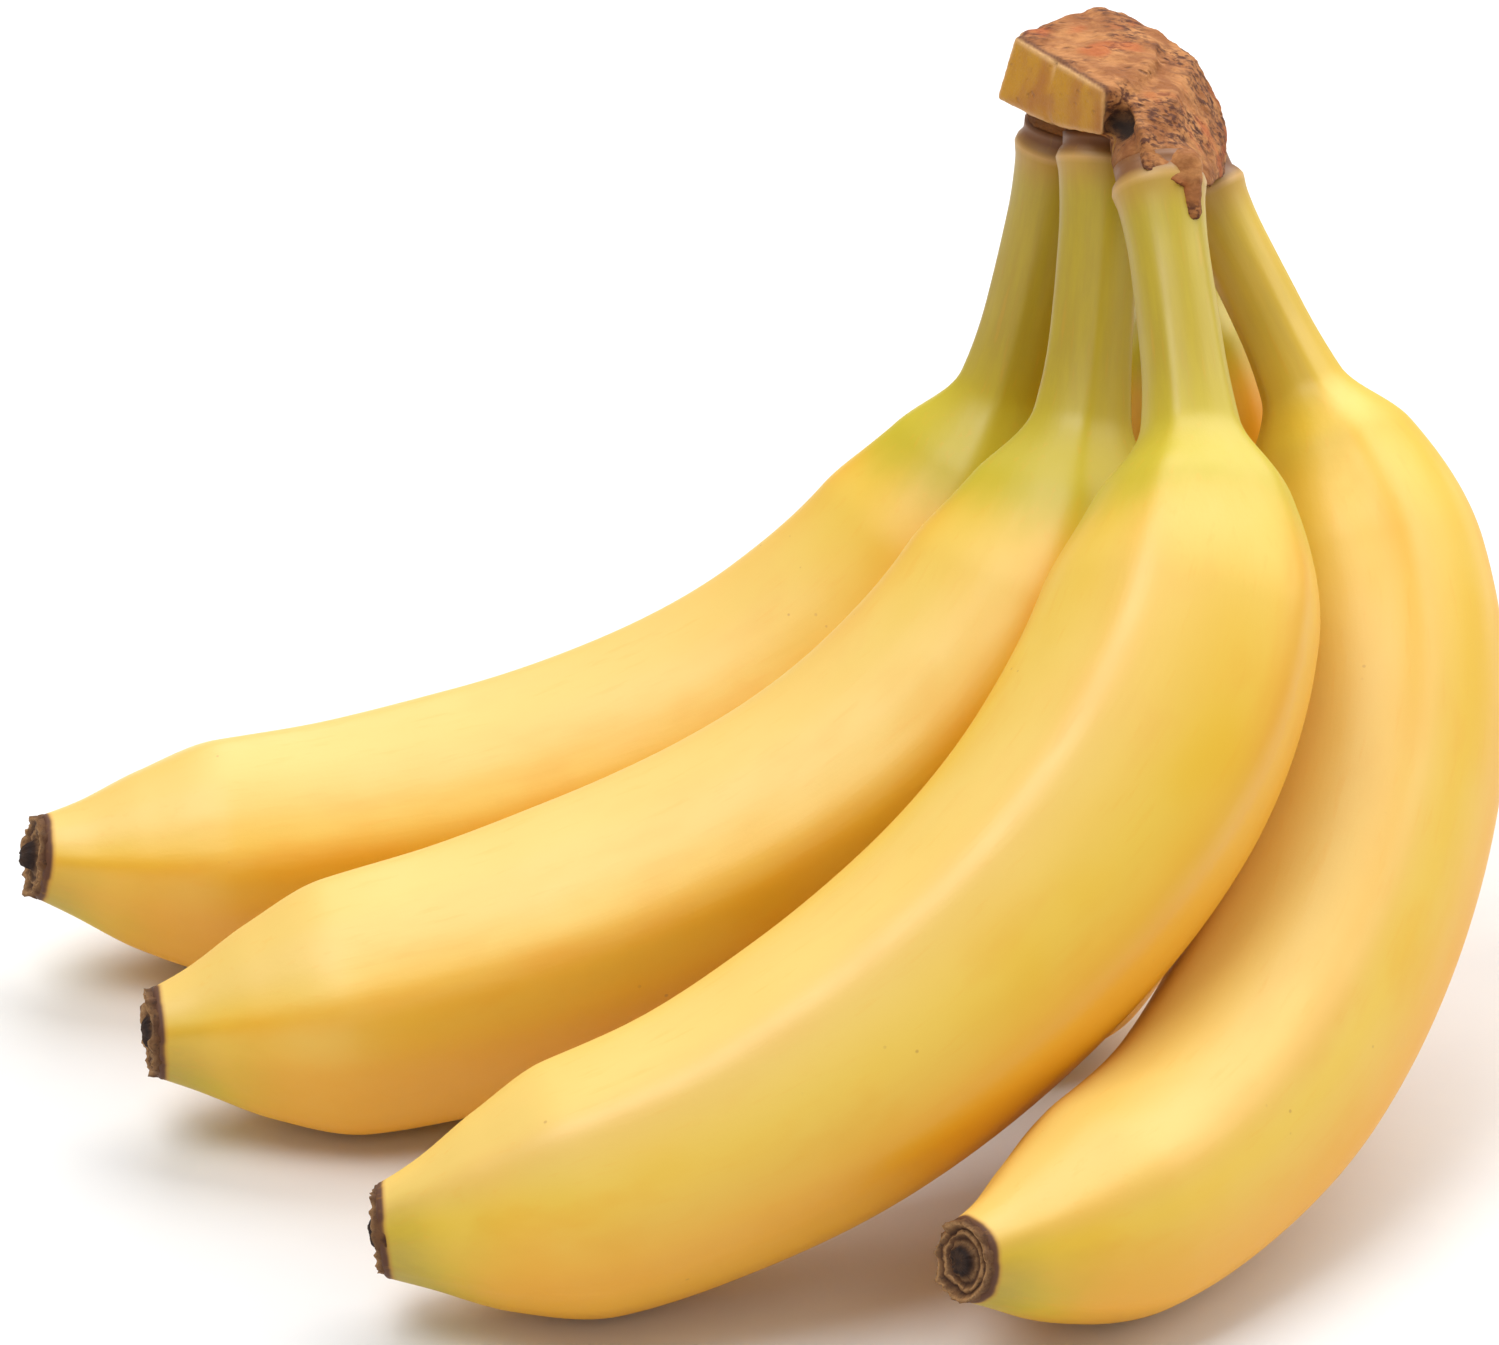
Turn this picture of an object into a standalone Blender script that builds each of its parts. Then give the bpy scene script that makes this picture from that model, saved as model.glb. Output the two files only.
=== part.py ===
"""A hand of five bananas that hang together at their crown, lying as it rests on a table.

Run it with: blender --background --python part.py
The model is in metres with +Z up. The table is the plane z = 0, and the origin is the middle of
the model's footprint. The crown is up and at the back, and the bananas curl down and to -X.
"""

import math
from dataclasses import dataclass

import bmesh
import bpy
from mathutils import Vector

MM = 0.001
GAP = 0.3  # clearance between two pieces that touch, mm

# ---- Driving dimensions, in millimetres and degrees ----


@dataclass
class Banana:
    """One banana, from its seat in the crown to its flower end."""

    name: str
    seat: tuple  # centre of the cut face of its stem
    lean: tuple  # how far the stem leans from straight down, towards +X and towards +Y
    heading: float  # compass direction that it curls towards, counter-clockwise from +X
    length: float  # along its middle, stem and flower end included
    girth: float  # its thickness, against the common outline
    curl: tuple  # how much it turns at the neck, along the body and before the tip
    stem: float  # length of its stem, against the common outline
    twist: float  # how much its curl turns out of one plane
    roll: tuple  # angle from the inside of its curl to its first ridge, at the seat and the tip


BANANAS = (
    Banana(
        "far_left", (39.9, 62.8, 106.2), (-10, -3), -167, 189, 1.00,
        curl=(36, 57, -4), stem=1.10, twist=1, roll=(10, 0),
    ),
    Banana(
        "middle_left", (44.7, 52.2, 109.2), (-4, -25), -173.5, 188, 1.06,
        curl=(34, 54, -6), stem=1.10, twist=-4, roll=(-14, -14),
    ),
    Banana(
        "front", (50.4, 38.8, 110.6), (10.5, -44), -175.5, 192, 1.05,
        curl=(28, 54, 10), stem=1.05, twist=9, roll=(10, -12),
    ),
    Banana(
        "right", (56.0, 53.6, 103.9), (29.5, -25), -137, 186, 0.93,
        curl=(30, 61, 15), stem=0.95, twist=-6, roll=(4, -6),
    ),
    Banana(
        "back", (48.9, 66.2, 103.0), (17.8, -6.2), -132.5, 133, 0.74,
        curl=(25, 45, 15), stem=0.93, twist=3, roll=(0, 0),
    ),
)

# The outline that all five share: radius at a share of the length, from the seat to the tip.
OUTLINE = (
    (0.000, 5.7), (0.060, 4.75), (0.120, 4.9), (0.170, 5.8), (0.220, 11.7), (0.300, 16.4), (0.420, 17.6),
    (0.550, 17.4), (0.680, 17.0), (0.780, 16.0), (0.860, 15.2), (0.920, 11.5), (0.965, 7.3), (1.000, 4.6),
)
STEM_SHARE = 0.22  # share of the length above the shoulder
NECK_BEND = (0.31, 0.12)  # where the neck turns most, and over how wide a stretch, in shares
TIP_BEND = (0.82, 0.12)
BODY_BEND = (0.10, 0.32)  # the shares between which the body's even turn sets in
RIDGE_HEIGHT = 0.030  # of the radius
RIDGE_SHARPNESS = 0.006
RIDGES = 5

FLOWER_END_LENGTH = 2.5  # of the banana's length
# The dried flower end: radius against the radius of the banana's tip, at a height above it in mm.
FLOWER_END = ((0.92, 0.0), (1.00, 0.9), (0.96, 2.2), (0.62, 2.4), (0.44, 2.0), (0.34, 3.2), (0.14, 3.9))

# The crown is a faceted block. Its corners run round it from the left flank, back round the right.
CROWN_TOP = (
    (33, 59.5, 119), (38.5, 51.5, 119), (44.5, 41.5, 119.5), (48.5, 36, 115.5), (53, 44.5, 117),
    (56.5, 60.5, 116), (52, 64.5, 118), (45, 69.5, 119.5), (40.5, 68.5, 118.5), (35, 64.5, 118),
)
CROWN_BOTTOM = (
    (31.5, 57.5, 111.5), (38, 49.5, 110), (44, 40.5, 110), (49.5, 33, 111), (53.5, 33, 111), (57, 38.5, 108),
    (60.5, 50.5, 104), (60.5, 58.5, 102), (54.5, 69.5, 100.5), (46.5, 71.5, 102), (35.5, 67.5, 106),
)

# ---- Mesh resolution ----
STEPS = 48  # along a banana's middle
STEPS_PER_RING = 2
SIDES = 20


def clear_scene():
    for old in list(bpy.data.objects):
        bpy.data.objects.remove(old, do_unlink=True)


def material(name, colour, roughness):
    made = bpy.data.materials.new(name)
    made.use_nodes = True
    shader = made.node_tree.nodes["Principled BSDF"]
    shader.inputs["Base Color"].default_value = (*colour, 1.0)
    shader.inputs["Roughness"].default_value = roughness
    shader.inputs["Metallic"].default_value = 0.0
    return made


def bell(share, centre, spread):
    return math.exp(-0.5 * ((share - centre) / spread) ** 2)


def smooth_step(share, start, end):
    t = min(max((share - start) / (end - start), 0.0), 1.0)
    return t * t * (3 - 2 * t)


def scaled_to_mean(values, mean):
    factor = mean * len(values) / sum(values)
    return [value * factor for value in values]


def turn_rates(banana):
    """How fast the banana turns at each step, in degrees for each whole length."""
    shares = [i / STEPS for i in range(STEPS + 1)]
    neck = [bell(s, NECK_BEND[0] * banana.stem, NECK_BEND[1]) for s in shares]
    body = [smooth_step(s, *BODY_BEND) for s in shares]
    tip = [bell(s, *TIP_BEND) for s in shares]
    bends = [scaled_to_mean(values, angle) for values, angle in zip((neck, body, tip), banana.curl)]
    return [sum(rates) for rates in zip(*bends)]


def middle_line(banana):
    """Points along the banana's middle, each with its forward, inward and sideways directions."""
    lean_x, lean_y = (math.tan(math.radians(angle)) for angle in banana.lean)
    forward = Vector((lean_x, lean_y, -1)).normalized()
    heading = math.radians(banana.heading)
    level = Vector((math.cos(heading), math.sin(heading), 0))
    inward = (level - forward * level.dot(forward)).normalized()
    point = Vector(banana.seat)
    line = [(point, forward, inward, forward.cross(inward))]
    rates = turn_rates(banana)
    twist = math.radians(banana.twist) / STEPS
    for before, after in zip(rates, rates[1:]):
        turn = math.radians((before + after) / 2) / STEPS
        ahead = forward * math.cos(turn) + inward * math.sin(turn)
        inward = inward * math.cos(turn) - forward * math.sin(turn)
        point = point + (forward + ahead) / 2 * (banana.length / STEPS)
        forward = ahead
        inward = inward * math.cos(twist) + forward.cross(inward) * math.sin(twist)
        line.append((point, forward, inward, forward.cross(inward)))
    return line


def outline_knots(banana):
    """The common outline with this banana's own stem length and girth."""
    shoulder = STEM_SHARE * banana.stem
    knots = []
    for share, radius in OUTLINE:
        if share <= STEM_SHARE:
            moved = share * banana.stem
        else:
            moved = shoulder + (share - STEM_SHARE) * (1 - shoulder) / (1 - STEM_SHARE)
        knots.append((moved, radius * banana.girth))
    return knots


def radius_at(knots, share):
    """A smooth curve through the knots that doesn't overshoot between them."""
    spans = [b[0] - a[0] for a, b in zip(knots, knots[1:])]
    slopes = [(b[1] - a[1]) / h for (a, b), h in zip(zip(knots, knots[1:]), spans)]
    i = max(k for k in range(len(spans)) if share >= knots[k][0] - 1e-9)

    def tangent(k):
        if k == 0 or k == len(spans):
            return slopes[min(k, len(spans) - 1)]
        before, after = slopes[k - 1], slopes[k]
        if before * after <= 0:
            return 0.0
        weight_a = 2 * spans[k] + spans[k - 1]
        weight_b = spans[k] + 2 * spans[k - 1]
        return (weight_a + weight_b) / (weight_a / before + weight_b / after)

    h = spans[i]
    t = (share - knots[i][0]) / h
    return (
        (1 + 2 * t) * (1 - t) ** 2 * knots[i][1]
        + t * (1 - t) ** 2 * h * tangent(i)
        + t * t * (3 - 2 * t) * knots[i + 1][1]
        + t * t * (t - 1) * h * tangent(i + 1)
    )


def ridge_factor(angle, share):
    """The rounded five-sided section: plain at the stem's seat and at the tip."""
    strength = smooth_step(share, 0.0, 0.3) * (1 - smooth_step(share, 0.93, 1.0))
    wave = RIDGE_HEIGHT * math.cos(RIDGES * angle) + RIDGE_SHARPNESS * math.cos(2 * RIDGES * angle)
    return 1 + strength * wave


def ring(place, radius, roll, share):
    """One section of a banana, as points in mm. Its ridges turn steadily from the seat to the tip."""
    point, _, inward, sideways = place
    first_ridge = math.radians(roll[0] + (roll[1] - roll[0]) * share)
    points = []
    for i in range(SIDES):
        angle = 2 * math.pi * i / SIDES
        reach = radius * ridge_factor(angle - first_ridge, share)
        points.append(point + (inward * math.cos(angle) + sideways * math.sin(angle)) * reach)
    return points


def solid_from_rings(name, rings, look):
    """A closed solid whose skin runs through the rings, with a flat fan at each end."""
    mesh = bmesh.new()
    loops = [[mesh.verts.new(point * MM) for point in points] for points in rings]
    for near, far in zip(loops, loops[1:]):
        for i in range(len(near)):
            j = (i + 1) % len(near)
            mesh.faces.new((near[i], near[j], far[j], far[i]))
    for loop, points in ((loops[0], rings[0]), (loops[-1], rings[-1])):
        centre = mesh.verts.new(sum(points, Vector()) / len(points) * MM)
        for i in range(len(loop)):
            mesh.faces.new((loop[i], loop[(i + 1) % len(loop)], centre))
    return finished(name, mesh, look)


def finished(name, mesh, look):
    bmesh.ops.recalc_face_normals(mesh, faces=mesh.faces)
    data = bpy.data.meshes.new(name)
    mesh.to_mesh(data)
    mesh.free()
    data.materials.append(look)
    data.shade_smooth()
    data.set_sharp_from_angle(angle=math.radians(35))
    made = bpy.data.objects.new(name, data)
    bpy.context.collection.objects.link(made)
    return made


def skin_end(banana):
    """The share of the length at which the skin stops and the dried flower end begins."""
    return 1 - FLOWER_END_LENGTH / banana.length


def place_at(line, share):
    """The middle line's place at any share of the length."""
    at = share * STEPS
    i = min(int(at), STEPS - 1)
    t = at - i
    point, forward, inward, _ = (a.lerp(b, t) for a, b in zip(line[i], line[i + 1]))
    forward.normalize()
    inward = (inward - forward * inward.dot(forward)).normalized()
    return point, forward, inward, forward.cross(inward)


def make_banana(banana, look):
    line = middle_line(banana)
    knots = outline_knots(banana)
    end = skin_end(banana)
    shares = [i / STEPS for i in range(0, STEPS, STEPS_PER_RING)] + [end]
    rings = [ring(place_at(line, s), radius_at(knots, s), banana.roll, s) for s in shares]
    return solid_from_rings("banana_" + banana.name, rings, look)


def make_flower_end(banana, look):
    point, forward, inward, sideways = place_at(middle_line(banana), skin_end(banana))
    tip_radius = radius_at(outline_knots(banana), skin_end(banana))
    rings = []
    for radius, height in FLOWER_END:
        place = (point + forward * (GAP + height), forward, inward, sideways)
        rings.append(ring(place, radius * tip_radius, banana.roll, 1.0))
    return solid_from_rings("flower_end_" + banana.name, rings, look)


def stem_cutter(banana, look):
    """The top of the stem, grown by the gap on every side: it is cut out of the crown."""
    line = middle_line(banana)
    knots = outline_knots(banana)
    shares = [i / STEPS for i in range(0, STEPS // 4)]
    rings = [ring(place_at(line, s), radius_at(knots, s) + GAP, banana.roll, s) for s in shares]
    back = -line[0][1] * GAP
    rings.insert(0, [point + back for point in rings[0]])
    cutter = solid_from_rings("cutter_" + banana.name, rings, look)
    cutter.hide_render = True
    cutter.display_type = "WIRE"
    return cutter


def make_crown(look):
    mesh = bmesh.new()
    for corner in CROWN_TOP + CROWN_BOTTOM:
        mesh.verts.new(Vector(corner) * MM)
    hull = bmesh.ops.convex_hull(mesh, input=mesh.verts)
    bmesh.ops.delete(mesh, geom=hull["geom_interior"], context="VERTS")
    crown = finished("crown", mesh, look)
    for banana in BANANAS:
        cut = crown.modifiers.new("seat_" + banana.name, "BOOLEAN")
        cut.operation = "DIFFERENCE"
        cut.solver = "EXACT"
        cut.object = stem_cutter(banana, look)
    return crown


def main():
    clear_scene()
    skin = material("banana_skin", (0.93, 0.62, 0.10), 0.45)
    woody = material("crown_wood", (0.42, 0.19, 0.08), 0.85)
    dried = material("dried_flower_end", (0.09, 0.045, 0.03), 0.9)
    for banana in BANANAS:
        make_banana(banana, skin)
        make_flower_end(banana, dried)
    make_crown(woody)


main()
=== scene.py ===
"""The looks of the bunch of bananas: its skins, crown and flower ends, a floor, light and a camera.

The table of bananas and the functions that shape them are the CAD model's own, in millimetres and
degrees. Each skin follows the same middle line and outline as its CAD solid, with finer detail.
"""

import math
from dataclasses import dataclass

import bmesh
import bpy
import numpy as np
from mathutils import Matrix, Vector, noise


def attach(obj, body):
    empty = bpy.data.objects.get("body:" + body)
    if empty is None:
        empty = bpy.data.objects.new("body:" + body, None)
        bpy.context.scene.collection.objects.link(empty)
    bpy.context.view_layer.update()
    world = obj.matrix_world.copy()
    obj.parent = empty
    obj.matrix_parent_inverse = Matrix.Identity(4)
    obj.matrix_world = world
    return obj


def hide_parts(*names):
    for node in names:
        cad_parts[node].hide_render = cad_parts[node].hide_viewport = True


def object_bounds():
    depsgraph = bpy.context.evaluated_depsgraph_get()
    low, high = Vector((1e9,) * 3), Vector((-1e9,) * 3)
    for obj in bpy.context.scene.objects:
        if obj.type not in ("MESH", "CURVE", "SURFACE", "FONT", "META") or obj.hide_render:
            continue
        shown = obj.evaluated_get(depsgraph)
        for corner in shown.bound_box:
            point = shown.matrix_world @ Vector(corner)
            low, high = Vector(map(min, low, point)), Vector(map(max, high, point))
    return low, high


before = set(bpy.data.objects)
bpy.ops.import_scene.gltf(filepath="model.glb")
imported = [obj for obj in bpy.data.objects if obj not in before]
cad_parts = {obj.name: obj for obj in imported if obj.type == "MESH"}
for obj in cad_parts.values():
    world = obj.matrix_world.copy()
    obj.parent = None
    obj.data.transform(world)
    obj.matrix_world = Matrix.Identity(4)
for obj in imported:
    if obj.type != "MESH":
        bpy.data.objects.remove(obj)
CAD_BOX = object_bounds()

MM = 0.001

# ---- The CAD model's shape ----


@dataclass
class Banana:
    """One banana, from its seat in the crown to its flower end."""

    name: str
    seat: tuple  # centre of the cut face of its stem
    lean: tuple  # how far the stem leans from straight down, towards +X and towards +Y
    heading: float  # compass direction that it curls towards, counter-clockwise from +X
    length: float  # along its middle, stem and flower end included
    girth: float  # its thickness, against the common outline
    curl: tuple  # how much it turns at the neck, along the body and before the tip
    stem: float  # length of its stem, against the common outline
    twist: float  # how much its curl turns out of one plane
    roll: tuple  # angle from the inside of its curl to its first ridge, at the seat and the tip
    green: float  # how green its neck still is, from 0 to 1
    nub: float  # how far the remains of its flower stick out, against the CAD model's
    stem_swell: float = 0.0  # how much its stem is fuller than the CAD model's, mm


BANANAS = (
    Banana(
        "far_left", (39.9, 62.8, 106.2), (-10, -3), -167, 189, 1.00,
        curl=(36, 57, -4), stem=1.10, twist=1, roll=(10, 0), green=1.0, nub=1.0,
    ),
    Banana(
        "middle_left", (44.7, 52.2, 109.2), (-4, -25), -173.5, 188, 1.06,
        curl=(34, 54, -6), stem=1.10, twist=-4, roll=(-14, -14), green=1.0, nub=0.6,
    ),
    Banana(
        "front", (50.4, 38.8, 110.6), (10.5, -44), -175.5, 192, 1.05,
        curl=(28, 54, 10), stem=1.05, twist=9, roll=(10, -12), green=0.85, nub=0.5,
    ),
    Banana(
        "right", (56.0, 53.6, 103.9), (29.5, -25), -137, 186, 0.93,
        curl=(30, 61, 15), stem=0.95, twist=-6, roll=(4, -6), green=0.4, nub=0.4,
    ),
    Banana(
        "back", (48.9, 66.2, 103.0), (17.8, -6.2), -132.5, 133, 0.74,
        curl=(25, 45, 15), stem=0.93, twist=3, roll=(0, 0), green=1.0, nub=0.7, stem_swell=1.5,
    ),
)

# The outline that all five share: radius at a share of the length, from the seat to the tip.
OUTLINE = (
    (0.000, 5.7), (0.060, 4.75), (0.120, 4.9), (0.170, 5.8), (0.220, 11.7), (0.300, 16.4), (0.420, 17.6),
    (0.550, 17.4), (0.680, 17.0), (0.780, 16.0), (0.860, 15.2), (0.920, 11.5), (0.965, 7.3), (1.000, 4.6),
)
STEM_SHARE = 0.22  # share of the length above the shoulder
NECK_BEND = (0.31, 0.12)  # where the neck turns most, and over how wide a stretch, in shares
TIP_BEND = (0.82, 0.12)
BODY_BEND = (0.10, 0.32)  # the shares between which the body's even turn sets in
RIDGES = 5
FLOWER_END_LENGTH = 2.5  # of the banana's length
STEPS = 48  # of the middle line

# ---- What the looks add to it ----

RINGS = 230
SIDES = 110
RIDGE_WAVES = (0.030, 0.0085, 0.0025)  # heights of the section's waves, 1, 2 and 3 to a ridge
SECTION_SIZE = 0.995  # keeps the crisper ridges inside the CAD model
COLLAR_DEPTH = 2.4  # how far below its seat each stem's skin begins, mm
COLLAR_HEIGHT = 0.30  # how far the skin flares there, mm
ROOT_INSET = 0.7  # how much thinner the bare root above it is, mm
LIP = 0.7  # radius of the rounded edge where the skin turns in at the flower end, mm
LIP_STEPS = 6
UNEVENNESS = 0.22  # how deep the body's shallow dips are, mm
DIP_SIZE = 14.0  # how wide they are, mm
STEM_SWELL_ENDS = (0.5, 0.2)  # the shares between which a stem's swell sets in, going up
RIDGES_SET_IN = (0.0, 0.16)  # the shares between which the ridges set in
RIDGES_FADE = (0.955, 1.0)  # and between which they fade at the tip

# ---- Where its colours begin and end ----

# Measured from the shoulder, in shares of the length.
NECK_GREEN_FROM, NECK_GREEN_FULL = 0.075, -0.02
NECK_OLIVE_FROM, NECK_OLIVE_FULL = -0.01, -0.10
# Measured from the seat, in shares of the length.
TIP_GREEN = (0.89, 0.985)
TIP_OLIVE = (0.945, 0.985)
RIDGE_COLOUR = (0.1, 0.3)
# Measured from the seat, in mm.
COLLAR_COLOUR = (9.0, 3.0)
# Measured back from the skin's end, in mm.
STAIN_COLOUR = (1.1, -0.3)
# How far up the skin faces, from -1 to 1, for the painted sheen on the skin's upper side and the painted
# shade on its lower side.
PAINTED_SHEEN_FACING = (0.40, 0.95)
SHADE_FACING = (0.55, -0.25)


def bell(share, centre, spread):
    """1 at the centre, and down to nothing on both sides of it."""
    return np.exp(-0.5 * ((share - centre) / spread) ** 2)


def smooth_step(value, start, end):
    """0 before the start and 1 after the end, easing in between. The start may be the greater."""
    t = np.clip((value - start) / (end - start), 0.0, 1.0)
    return t * t * (3 - 2 * t)


def unit(vectors):
    return vectors / np.linalg.norm(vectors, axis=-1, keepdims=True)


def turn_rates(banana):
    """How fast the banana turns at each step, in degrees for each whole length."""
    shares = np.arange(STEPS + 1) / STEPS
    bends = (
        bell(shares, NECK_BEND[0] * banana.stem, NECK_BEND[1]),
        smooth_step(shares, *BODY_BEND),
        bell(shares, *TIP_BEND),
    )
    return sum(values * angle * len(values) / values.sum() for values, angle in zip(bends, banana.curl))


def middle_line(banana):
    """The banana's middle, as arrays of points and of their forward and inward directions."""
    lean_x, lean_y = (math.tan(math.radians(angle)) for angle in banana.lean)
    forward = Vector((lean_x, lean_y, -1)).normalized()
    heading = math.radians(banana.heading)
    level = Vector((math.cos(heading), math.sin(heading), 0))
    inward = (level - forward * level.dot(forward)).normalized()
    point = Vector(banana.seat)
    line = [(point, forward, inward)]
    rates = turn_rates(banana)
    twist = math.radians(banana.twist) / STEPS
    for before, after in zip(rates, rates[1:]):
        turn = math.radians((before + after) / 2) / STEPS
        ahead = forward * math.cos(turn) + inward * math.sin(turn)
        inward = inward * math.cos(turn) - forward * math.sin(turn)
        point = point + (forward + ahead) / 2 * (banana.length / STEPS)
        forward = ahead
        inward = inward * math.cos(twist) + forward.cross(inward) * math.sin(twist)
        line.append((point, forward, inward))
    return (np.array([list(place[k]) for place in line]) for k in range(3))


def places_at(banana, shares):
    """Points on a smooth curve through the middle line, with forward, inward and sideways directions."""
    points, forwards, inwards = middle_line(banana)
    at = np.clip(np.asarray(shares, float), 0, 1) * STEPS
    i = np.minimum(at.astype(int), STEPS - 1)
    t = (at - i)[:, None]
    step = banana.length / STEPS
    point = (
        (1 + 2 * t) * (1 - t) ** 2 * points[i]
        + t * (1 - t) ** 2 * step * forwards[i]
        + t * t * (3 - 2 * t) * points[i + 1]
        + t * t * (t - 1) * step * forwards[i + 1]
    )
    forward = unit(forwards[i] * (1 - t) + forwards[i + 1] * t)
    inward = inwards[i] * (1 - t) + inwards[i + 1] * t
    inward = unit(inward - forward * (inward * forward).sum(1, keepdims=True))
    return point, forward, inward, np.cross(forward, inward)


def radii_at(banana, shares):
    """The banana's outline: a smooth curve through its knots that doesn't overshoot between them."""
    shoulder = STEM_SHARE * banana.stem
    known = np.array([share for share, _ in OUTLINE])
    below = shoulder + (known - STEM_SHARE) * (1 - shoulder) / (1 - STEM_SHARE)
    x = np.where(known <= STEM_SHARE, known * banana.stem, below)
    y = np.array([radius for _, radius in OUTLINE]) * banana.girth
    spans, slopes = np.diff(x), np.diff(y) / np.diff(x)
    tangents = np.zeros(len(x))
    tangents[0], tangents[-1] = slopes[0], slopes[-1]
    for k in range(1, len(spans)):
        if slopes[k - 1] * slopes[k] > 0:
            weight_a = 2 * spans[k] + spans[k - 1]
            weight_b = spans[k] + 2 * spans[k - 1]
            tangents[k] = (weight_a + weight_b) / (weight_a / slopes[k - 1] + weight_b / slopes[k])
    i = np.clip(np.searchsorted(x, shares, side="right") - 1, 0, len(spans) - 1)
    t = (shares - x[i]) / spans[i]
    return (
        (1 + 2 * t) * (1 - t) ** 2 * y[i]
        + t * (1 - t) ** 2 * spans[i] * tangents[i]
        + t * t * (3 - 2 * t) * y[i + 1]
        + t * t * (t - 1) * spans[i] * tangents[i + 1]
    )


def skin_end(banana):
    """The share of the length at which the skin stops and the dried flower end begins."""
    return 1 - FLOWER_END_LENGTH / banana.length


# ---- Meshes ----


def grid_faces(rows, columns):
    """Faces of a grid of rows that close on themselves sideways, each row of that many points."""
    faces = []
    for row in range(rows - 1):
        for i in range(columns):
            j = (i + 1) % columns
            upper, lower = row * columns, (row + 1) * columns
            faces.append((upper + i, upper + j, lower + j, lower + i))
    return faces


def capped(faces, rows, columns):
    """The grid's faces with its first and last rows filled by a fan around one more point each."""
    first, last = rows * columns, rows * columns + 1
    end = (rows - 1) * columns
    for i in range(columns):
        j = (i + 1) % columns
        faces.append((j, i, first))
        faces.append((end + i, end + j, last))
    return faces


def tube_mesh(name, rows):
    """A closed mesh through rows of points (rows x columns x 3, in mm), smooth all over."""
    count, columns, _ = rows.shape
    ends = np.stack([rows[0].mean(0), rows[-1].mean(0)])
    points = np.concatenate([rows.reshape(-1, 3), ends])
    return mesh_object(name, points, capped(grid_faces(count, columns), count, columns))


def mesh_object(name, points, faces):
    data = bpy.data.meshes.new(name)
    data.from_pydata((points * MM).tolist(), [], faces)
    work = bmesh.new()
    work.from_mesh(data)
    bmesh.ops.recalc_face_normals(work, faces=work.faces)
    work.to_mesh(data)
    work.free()
    data.shade_smooth()
    made = bpy.data.objects.new(name, data)
    bpy.context.collection.objects.link(made)
    return made


def store(piece, name, values):
    """Keeps one number, or one vector, for each point of the mesh, for its material to read."""
    values = np.asarray(values, np.float32)
    flat = values.ndim == 1
    layer = piece.data.attributes.new(name, "FLOAT" if flat else "FLOAT_VECTOR", "POINT")
    layer.data.foreach_set("value" if flat else "vector", values.ravel())


def noise_at(points, size, seed, octaves=3):
    """Smooth noise of about -1 to 1 at each point, with features of that size."""
    offset = Vector((seed * 17.3, seed * 5.1, seed * 9.7))
    return np.array([noise.fractal(Vector(p) / size + offset, 1.0, 2.0, octaves) for p in points])


# ---- Colours, as sRGB bytes ----

YELLOW = (240, 192, 38)
CREAM = (242, 202, 72)
DEEP_YELLOW = (240, 167, 10)
# A painted sheen, laid on the skin where it faces up.
PAINTED_SHEEN = (240, 207, 124)
GREEN_YELLOW = (204, 183, 18)
OLIVE = (164, 136, 38)
OCHRE = (188, 134, 54)
# Brown of the bare stem roots, also used as painted shade in the recess under the crown.
ROOT_AND_RECESS_SHADE = (134, 84, 38)
STAIN = (86, 44, 6)
STAIN_EDGE = (176, 110, 34)
CUT_LIGHT = (194, 132, 76)
CUT = (154, 94, 46)
CUT_DARK = (88, 46, 24)
RUST = (186, 92, 38)
FLANK = (194, 138, 34)
FLANK_BROWN = (176, 112, 44)
RIM = (226, 178, 122)
HOLLOW_SHADE = (52, 38, 30)
DRY_LIGHT = (188, 144, 96)
DRY = (112, 74, 42)
DRY_BROWN = (80, 48, 30)
DRY_DARK = (44, 32, 28)
FLOOR = (236, 236, 235)
FLOOR_SHADE = (234, 234, 234)
STUDIO_WHITE = (252, 252, 255)


def linear(colour):
    """An sRGB colour in bytes as the linear colour that a shader takes."""
    parts = [byte / 255 for byte in colour]
    return tuple(p / 12.92 if p <= 0.04045 else ((p + 0.055) / 1.055) ** 2.4 for p in parts) + (1.0,)


# ---- Materials ----


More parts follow.
